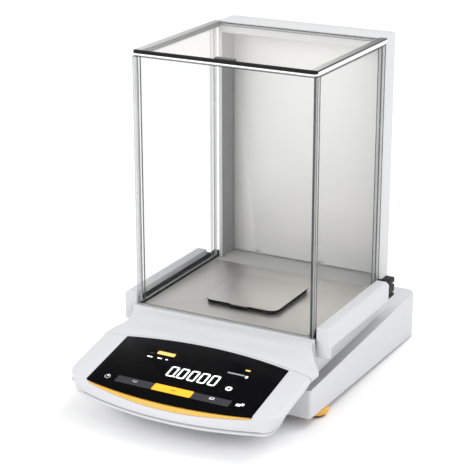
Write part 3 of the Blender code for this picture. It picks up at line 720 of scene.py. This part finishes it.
def add_sign(name, u, v, width, height, radius, material, stroke=0.0, steps=5):
    """A flat lit shape with rounded corners, hollow when it has a stroke.

    u, v and the sizes are millimetres on the console's face, from the middle of its front edge.
    """
    deselect()
    bpy.ops.mesh.primitive_plane_add(size=1.0, location=(0, 0, 0))
    sign = bpy.context.active_object
    sign.name = name
    sign.scale = (width * MM, height * MM, 1)
    settle_place(sign)
    enter(sign)
    bpy.ops.mesh.select_all(action="SELECT")
    bpy.ops.mesh.bevel(offset=radius * MM, segments=steps, affect="VERTICES")
    bpy.ops.mesh.select_mode(type="FACE")
    bpy.ops.mesh.select_all(action="SELECT")
    if stroke:
        bpy.ops.mesh.inset(thickness=stroke * MM)
        bpy.ops.mesh.delete(type="FACE")
        bpy.ops.mesh.select_all(action="SELECT")
    bpy.ops.mesh.extrude_region_move(TRANSFORM_OT_translate={"value": (0, 0, SIGN_DEPTH)})
    bpy.ops.mesh.select_all(action="SELECT")
    bpy.ops.mesh.normals_make_consistent(inside=False)
    leave()
    lay_on_face(sign, u, v)
    dress(sign, material)
    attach(sign, "base")
    return sign


class BALANCE_OT_add_signs(BalanceOperator, bpy.types.Operator):
    """Add the digits, keys and small signs of the display"""

    bl_idname = "balance.add_signs"
    bl_label = "Display signs"

    def execute(self, context):
        white = lit("lit_white", colours().lit_white, 0.9)
        dim = lit("lit_dim", (0.30, 0.30, 0.31), 0.5)
        orange = lit("lit_orange", colours().lit_orange, 0.55)
        pale = lit("lit_pale_orange", (0.75, 0.50, 0.16), 0.5)
        grey = lit("key_grey", colours().key_grey, 0.12)
        dark = lit("key_mark", (0.35, 0.12, 0.01), 0.3)
        setting = sizes()
        wide, tall = setting.digit_width / MM, setting.digit_height / MM
        for number in range(DIGITS):
            u = DIGIT_START + number * setting.digit_pitch / MM
            add_sign(f"digit_{number + 1}", u, DIGIT_MIDDLE, wide, tall, DIGIT_RADIUS, white,
                     setting.stroke / MM)
        add_sign("decimal_point", -9.7, 31.0, 1.5, 1.7, 0.3, white, steps=2)
        add_sign("middle_key", 0, 10.2, 43.5, 10.5, 1.2, orange)
        add_sign("middle_key_sign", 0.5, 10.4, 5.5, 1.3, 0.5, dark, steps=3)
        for side, sx in SIDES:
            add_sign(f"{side}_key", sx * 43, 9.8, 41.5, 10.2, 1.2, grey)
            add_sign(f"{side}_key_sign", sx * 43, 11.6, 5.4, 3.6, 1.0, white,
                     1.0)
        add_sign("standby_sign", -74, 9.6, 6.4, 6.4, 3.1, dim, 1.1, 8)
        add_sign("standby_bar", -74, 11.6, 1.1, 3.0, 0.4, white, steps=2)
        add_sign("menu_sign", 51, 31.6, 6.6, 6.2, 2.6, white, 1.7, 6)
        add_sign("print_sign", 72, 10.8, 4.6, 3.4, 0.7, white, 1.2, 3)
        add_sign("print_sign_sheet", 76, 12.6, 3.0, 3.4, 0.7, white, steps=3)
        add_sign("status_label", -37, 63.5, 20, 5.2, 1.0, pale, steps=3)
        marks = ((-51, 54, 6.0), (-40, 54.5, 5.0), (-32, 54.6, 2.4), (-52, 60.5, 5.0))
        for number, (u, v, w) in enumerate(marks):
            add_sign(f"status_mark_{number + 1}", u, v, w, 1.5, 0.5,
                     white if number < 3 else grey, steps=3)
        add_sign("load_bar", 46.5, 56, 19, 1.7, 0.7, dim, steps=3)
        add_sign("load_dot", 55, 65, 5.5, 2.2, 0.9, pale, steps=3)
        add_sign("unit_sign", 58.7, 54.6, 2.7, 3.4, 0.9, white, 0.8, 3)
        return {"FINISHED"}


class BALANCE_OT_add_column(BalanceOperator, bpy.types.Operator):
    """Add the rear column and the pale panel inside it"""

    bl_idname = "balance.add_column"
    bl_label = "Rear column"

    def execute(self, context):
        column = copy_of("rear_column", "rear_column_channel")
        add_rounding(column, 0.00015, 2, 35.0)
        # Painted shade for the column's inner side walls: a mid grey.
        shade = plastic("column_inner_painted_shade", (0.28, 0.28, 0.285), 0.6)
        finish_piece(column, "base", "housing_white",
                     [plastic("column_white", colours().column), shade], "rear_column")
        inner_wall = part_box("back_panel")[1].x + 1.5 * MM
        # The inner side walls get the painted shade.
        paint_faces(column, 1, lambda f: abs(f.normal.x) > 0.9 and abs(f.center.x) < inner_wall)
        panel = copy_of("back_panel", "back_panel_sheet")
        add_rounding(panel, 0.0003, 2, 35.0)
        finish_piece(panel, "base", "panel_grey",
                     [plastic("panel_grey", colours().panel, 0.6, 0.15)], "back_panel")
        return {"FINISHED"}


def pane_finishes(tint, alpha):
    """Clear face, ground edge, the arrises' black painted shade and grey edge band, in the order of
    the PANE_ numbers.
    """
    return [clear_glass(f"clear_pane_{round(alpha * 100)}", tint, alpha),
            clear_glass("ground_edge", (0.50, 0.52, 0.52), 0.55, 0.35),
            clear_glass("arris_painted_shade", (0.012, 0.013, 0.013), 0.88, 0.3),
            clear_glass("grey_edge_band", (0.36, 0.37, 0.37), 0.45, 0.3)]


def add_pane(name, node, body, thin_axis, tint=None, alpha=PANE_ALPHA):
    """A pane with ground edges; its large faces are the ones across thin_axis."""
    low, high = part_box(node)
    pane = start_box(name, low, high)
    enter(pane)
    bpy.ops.mesh.select_mode(type="EDGE")
    bpy.ops.mesh.select_all(action="SELECT")
    bpy.ops.mesh.bevel(offset=sizes().glass_edge, segments=1)
    leave()
    finish_piece(pane, body, "clear_glass", pane_finishes(tint or colours().glass, alpha), node)
    paint_faces(pane, PANE_GROUND,
                lambda f: abs(f.normal[thin_axis]) < 0.1 and max(map(abs, f.normal)) > 0.99)
    # The arrises get the black painted shade.
    paint_faces(pane, PANE_SHADE, lambda f: max(map(abs, f.normal)) < 0.99)
    pane.visible_shadow = False
    return pane


def grooved_rail(side, sx):
    """A top rail with two lips inwards, which leave the groove that the top pane slides in."""
    low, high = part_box(f"top_rail_{side}")
    groove = (low.z + LOWER_LIP, high.z - UPPER_LIP)
    inset = Vector((RAIL_LIP, 0, 0))
    rail = start_box(f"top_rail_profile_{side}",
                     low + inset if sx > 0 else low, high if sx > 0 else high - inset)
    slice_at(rail, 2, groove)
    enter(rail)
    pick(rail, "FACE", lambda f: f.normal.x * sx < -0.9
         and not groove[0] < f.calc_center_median().z < groove[1])
    bpy.ops.mesh.extrude_region_move(TRANSFORM_OT_translate={"value": (-sx * RAIL_LIP, 0, 0)})
    top_edge = sx * max(abs(low.x), abs(high.x))
    pick(rail, "EDGE", lambda e: all(
        abs(v.co.x - top_edge) < 0.1 * MM and abs(v.co.z - high.z) < 0.1 * MM for v in e.verts))
    bpy.ops.mesh.bevel(offset=RAIL_CHAMFER, segments=3)
    leave()
    return rail, low, high


class BALANCE_OT_add_front_pane(BalanceOperator, bpy.types.Operator):
    """Add the fixed front pane, the bar over it and the two top rails"""

    bl_idname = "balance.add_front_pane"
    bl_label = "Front pane"

    def execute(self, context):
        pane = add_pane("front_pane_glass", "front_pane", "base", 1)
        low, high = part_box("front_pane")
        left, right = low.x + PANE_LEFT_BAND, high.x - PANE_RIGHT_BAND
        slice_at(pane, 0, (left, right))
        paint_band(pane, PANE_GREY, 0, low.x + 0.1 * MM, left)
        # Black painted shade on the pane's right edge band.
        paint_faces(pane, PANE_SHADE, lambda f: f.center.x > right and abs(f.normal.x) < 0.9)

        bar = copy_of("front_top_bar", "front_top_strip")
        low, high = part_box("front_top_bar")
        foot, black = low.z + STRIP_FOOT, high.z - STRIP_BLACK
        slice_at(bar, 2, (foot, black))
        add_rounding(bar, 0.0004, 2, 40.0)
        white = plastic("top_strip_white", (0.86, 0.86, 0.86), 0.3, 0.1)
        # Painted shade for the bar's foot: the grey of the gap at the pane's top edge.
        grey = plastic("top_strip_gap_shade", (0.16, 0.16, 0.16), 0.4, 0.1)
        finish_piece(bar, "base", "black_plastic", [black_moulding(), white, grey],
                     "front_top_bar")
        paint_faces(bar, STRIP_WHITE,
                    lambda f: f.center.z < black + 0.1 * MM and abs(f.normal.z) < 0.8)
        # The bar's foot gets the grey painted shade.
        paint_faces(bar, STRIP_GAP_SHADE, lambda f: f.center.z < foot)

        for side, sx in SIDES:
            rail, low, high = grooved_rail(side, sx)
            outer = sx * max(abs(low.x), abs(high.x))
            add_rounding(rail, 0.0003, 2, 40.0)
            slice_at(rail, 2, (high.z - RAIL_LINE_TOP,), 1)
            edge = plastic("rail_line", (0.05, 0.05, 0.052), 0.4, 0.1)
            # The rail's top is painted with shade that darkens towards the rear, nearly to black on
            # the right rail.
            top = graded(f"rail_top_painted_shade_{side}", *RAIL_SHADE_TONES[side], RAIL_SHADE_FRONT, RAIL_SHADE_REAR, 0.42, 0.2)
            finish_piece(rail, "base", "rail_grey",
                         [top, plastic("rail_side_white", (0.86, 0.86, 0.87)), edge],
                         f"top_rail_{side}")
            paint_faces(rail, RAIL_WHITE, lambda f: f.normal.x * sx > 0.6)
            paint_faces(rail, RAIL_LINE,
                        lambda f: abs(f.center.x - outer) < RAIL_LINE_WIDTH
                        and (f.center.z > high.z - RAIL_LINE_TOP
                             or f.center.z < low.z + RAIL_LINE_FOOT))
        return {"FINISHED"}


def add_handle(side, sx, body):
    """A door's handle: a long hollow bar with a chamfered shoulder and a deeper front cap."""
    low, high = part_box(f"{side}_door_handle")
    cap_rear = low.y + CAP_LENGTH
    outer = sx * max(abs(low.x), abs(high.x))
    bar_low = Vector((low.x, low.y, low.z + CAP_DEPTH))
    handle = start_box(f"{side}_handle_bar", bar_low, high)
    slice_at(handle, 1, (cap_rear,))
    enter(handle)
    pick(handle, "EDGE", lambda e: all(
        abs(v.co.x - outer) < MM and v.co.z > high.z - MM for v in e.verts))
    bpy.ops.mesh.bevel(offset=SHOULDER, segments=1)
    pick(handle, "FACE", lambda f: f.normal.z < -0.9 and f.calc_center_median().y < cap_rear)
    bpy.ops.mesh.extrude_region_move(TRANSFORM_OT_translate={"value": (0, 0, -CAP_DEPTH)})
    pick(handle, "FACE", lambda f: f.normal.z < -0.9 and f.calc_center_median().y > cap_rear)
    bpy.ops.mesh.inset(thickness=HANDLE_WALL)
    bpy.ops.mesh.extrude_region_move(TRANSFORM_OT_translate={"value": (0, 0, POCKET_DEPTH)})
    leave()
    add_rounding(handle, 0.0006, 3, 25.0)
    finish_piece(handle, body, "housing_white", [white_moulding()], f"{side}_door_handle")


class BALANCE_OT_add_side_doors(BalanceOperator, bpy.types.Operator):
    """Add both side doors: glass, seal, handle bar and runner, and dress their guides"""

    bl_idname = "balance.add_side_doors"
    bl_label = "Side doors"

    def execute(self, context):
        for side, sx in SIDES:
            body = f"{side}_door"
            pane = add_pane(f"{side}_door_pane", f"{side}_door_glass", body, 0)
            low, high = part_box(f"{side}_door_glass")
            front = tuple(low.y + place for place in DOOR_FRONT_BAND)
            rear = tuple(high.y - place for place in DOOR_REAR_BAND)
            slice_at(pane, 1, front + rear)
            # Black painted shade on the band at the door's front; on the right door also at its
            # rear.
            paint_band(pane, PANE_SHADE, 1, *front)
            if side == "right":
                paint_band(pane, PANE_GREY, 1, low.y + 0.6 * MM, front[0])
                paint_band(pane, PANE_SHADE, 1, rear[0], rear[1])
                paint_band(pane, PANE_SHADE, 1, rear[2], high.y - 0.1 * MM)
            paint_band(pane, PANE_GREY, 1, rear[1], rear[2])
            seal = copy_of(f"{side}_door_seal", f"{side}_door_rail")
            add_rounding(seal, 0.0004, 2, 40.0)
            finish_piece(seal, body, "black_plastic", [black_moulding()], f"{side}_door_seal")
            add_handle(side, sx, body)
            runner = copy_of(f"{side}_door_runner", f"{side}_runner_block")
            add_rounding(runner, 0.0006, 2, 40.0)
            finish_piece(runner, body, "black_plastic", [black_moulding()], f"{side}_door_runner")
            dress_node(f"guide_rail_{side}",
                       brushed("guide_rail_grey", (0.42, 0.43, 0.43), 0.4, LINES_ALONG_Y))
        return {"FINISHED"}


class BALANCE_OT_add_top_door(BalanceOperator, bpy.types.Operator):
    """Add the sliding top pane and its grip"""

    bl_idname = "balance.add_top_door"
    bl_label = "Top door"

    def execute(self, context):
        add_pane("top_door_pane", "top_door_glass", "top_door", 2, TOP_DOOR_TINT, TOP_DOOR_ALPHA)
        grip = copy_of("top_door_grip", "top_door_grip_tab")
        add_rounding(grip, 0.0005, 3, 40.0)
        finish_piece(grip, "top_door", "black_plastic",
                     [plastic("smoke_grip", (0.10, 0.10, 0.10), 0.35)], "top_door_grip")
        return {"FINISHED"}


class BALANCE_OT_add_floor_plate(BalanceOperator, bpy.types.Operator):
    """Add the brushed floor plate"""

    bl_idname = "balance.add_floor_plate"
    bl_label = "Floor plate"

    def execute(self, context):
        plate = copy_of("floor_plate", "floor_plate_pressing")
        add_rounding(plate, 0.0003, 2, 40.0)
        finish_piece(plate, "base", "brushed_steel", [steel_plate()], "floor_plate")
        return {"FINISHED"}


class BALANCE_OT_add_pan(BalanceOperator, bpy.types.Operator):
    """Add the weighing pan, its sides and a skirt below them painted black as the shadow under its
    edge, and dress its support
    """

    bl_idname = "balance.add_pan"
    bl_label = "Weighing pan"

    def execute(self, context):
        pan = copy_of("weighing_pan", "weighing_pan_plate")
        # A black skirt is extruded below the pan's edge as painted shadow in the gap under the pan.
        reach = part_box("weighing_pan")[1].z - SHADOW_SKIRT_REACH
        enter(pan)
        pick(pan, "FACE", lambda f: f.normal.z < -0.9 and f.calc_area() > LARGEST_SHADOW_SKIRT_FACE)
        bpy.ops.mesh.inset(thickness=SHADOW_SKIRT_WIDTH)
        pick(pan, "FACE", lambda f: f.normal.z < -0.9 and reach < f.calc_center_median().z
             and f.calc_area() < LARGEST_SHADOW_SKIRT_FACE)
        bpy.ops.mesh.extrude_region_move(TRANSFORM_OT_translate={"value": (0, 0, -SHADOW_SKIRT_DEPTH)})
        leave()
        add_rounding(pan, 0.0002, 2, 50.0, 40.0)
        # Black painted shadow for the pan's sides and the skirt.
        rim = dull(plastic("pan_rim_painted_shadow", (0.004, 0.004, 0.004), 0.7), 0.0)
        finish_piece(pan, "pan", "brushed_steel", [steel_plate(), rim], "weighing_pan")
        paint_faces(pan, 1, lambda f: f.normal.z < 0.6)
        dress_node("pan_support", aluminium())
        return {"FINISHED"}


class BALANCE_OT_dress_cell(BalanceOperator, bpy.types.Operator):
    """Dress the weigh cell and what belongs to it inside the base"""

    bl_idname = "balance.dress_cell"
    bl_label = "Weigh cell"

    def execute(self, context):
        for node in ("load_receiver", "weigh_cell", "cell_lever"):
            dress_node(node, aluminium())
        dress_node("cell_coil", wound_wire("copper_winding"))
        dress_node("cell_magnet", zinc())
        dress_node("position_sensor", black_moulding())
        for number in range(1, 5):
            dress_node(f"cell_screw_{number}", zinc())
        return {"FINISHED"}


class BALANCE_OT_dress_drive(BalanceOperator, bpy.types.Operator):
    """Dress the calibration drive, the main board and the console's screws"""

    bl_idname = "balance.dress_drive"
    bl_label = "Calibration drive"

    def execute(self, context):
        dress_node("calibration_cam", black_moulding())
        dress_node("calibration_frame", aluminium())
        dress_node("calibration_lifter", aluminium())
        for node in ("calibration_motor", "calibration_weight",
                     "bracket_screw_1", "bracket_screw_2"):
            dress_node(node, zinc())
        dress_node("main_board", circuit_board("circuit_board"))
        return {"FINISHED"}


def add_light(name, place, aim, size, power):
    """A square lamp of the given width, turned towards aim."""
    bpy.ops.object.light_add(type="AREA", location=place)
    lamp = bpy.context.active_object
    lamp.name = name
    lamp.data.size = size
    lamp.data.energy = power
    lamp.rotation_euler = (Vector(aim) - Vector(place)).to_track_quat("-Z", "Y").to_euler()


class BALANCE_OT_add_stage(BalanceOperator, bpy.types.Operator):
    """Add the table, the soft studio light and the camera"""

    bl_idname = "balance.add_stage"
    bl_label = "Stage"

    def execute(self, context):
        deselect()
        bpy.ops.mesh.primitive_plane_add(size=TABLE_SIZE, location=(0, 0, 0))
        table = bpy.context.active_object
        table.name = "table"
        dress(table, plastic("table_white", colours().floor, 0.9, 0.0, 0.004))
        world = bpy.data.worlds.new("studio")
        context.scene.world = world
        world.use_nodes = True
        sky = world.node_tree.nodes["Background"]
        sky.inputs["Color"].default_value = (1.0, 1.0, 1.0, 1.0)
        sky.inputs["Strength"].default_value = SKY_STRENGTH
        bpy.ops.object.light_add(type="SUN", rotation=SUN_TURN)
        key = bpy.context.active_object
        key.name = "overhead_right_rear"
        key.data.energy = SUN_STRENGTH
        key.data.angle = SUN_WIDTH
        add_light("right_fill", (1.6, -0.5, 0.7), (0, 0, 0.15), 1.2, 5.0)
        add_light("front_fill", (-0.9, -2.2, 1.3), (0, 0, 0.2), 1.6, 26.0)
        bpy.ops.object.camera_add(location=CAMERA_PLACE, rotation=CAMERA_TURN)
        camera = bpy.context.active_object
        camera.data.sensor_width = CAMERA_SENSOR
        camera.data.lens = CAMERA_LENS
        context.scene.camera = camera
        context.scene.view_settings.view_transform = "Standard"
        return {"FINISHED"}


OPERATORS = (
    BALANCE_OT_add_housing,
    BALANCE_OT_add_feet,
    BALANCE_OT_add_ports,
    BALANCE_OT_add_console,
    BALANCE_OT_add_signs,
    BALANCE_OT_add_column,
    BALANCE_OT_add_front_pane,
    BALANCE_OT_add_side_doors,
    BALANCE_OT_add_top_door,
    BALANCE_OT_add_floor_plate,
    BALANCE_OT_add_pan,
    BALANCE_OT_dress_cell,
    BALANCE_OT_dress_drive,
    BALANCE_OT_add_stage,
)


class BALANCE_PT_sidebar(bpy.types.Panel):
    """Lists the balance's sizes, colours and pieces"""

    bl_idname = "BALANCE_PT_sidebar"
    bl_label = "Analytical balance"
    bl_space_type = "VIEW_3D"
    bl_region_type = "UI"
    bl_category = "Balance"

    def draw(self, context):
        layout = self.layout
        for group in (context.scene.balance_sizes, context.scene.balance_colours):
            column = layout.column(align=True)
            for key in group.__annotations__:
                column.prop(group, key)
        column = layout.column(align=True)
        for operator in OPERATORS:
            column.operator(operator.bl_idname)


CLASSES = (BalanceColours, BalanceSizes, *OPERATORS, BALANCE_PT_sidebar)


def register():
    for one in CLASSES:
        bpy.utils.register_class(one)
    bpy.types.Scene.balance_colours = bpy.props.PointerProperty(type=BalanceColours)
    bpy.types.Scene.balance_sizes = bpy.props.PointerProperty(type=BalanceSizes)


def unregister():
    del bpy.types.Scene.balance_sizes
    del bpy.types.Scene.balance_colours
    for one in reversed(CLASSES):
        bpy.utils.unregister_class(one)


def main():
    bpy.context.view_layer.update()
    register()
    for operator in OPERATORS:
        group, name = operator.bl_idname.split(".")
        getattr(getattr(bpy.ops, group), name)()


if __name__ == "__main__":
    main()
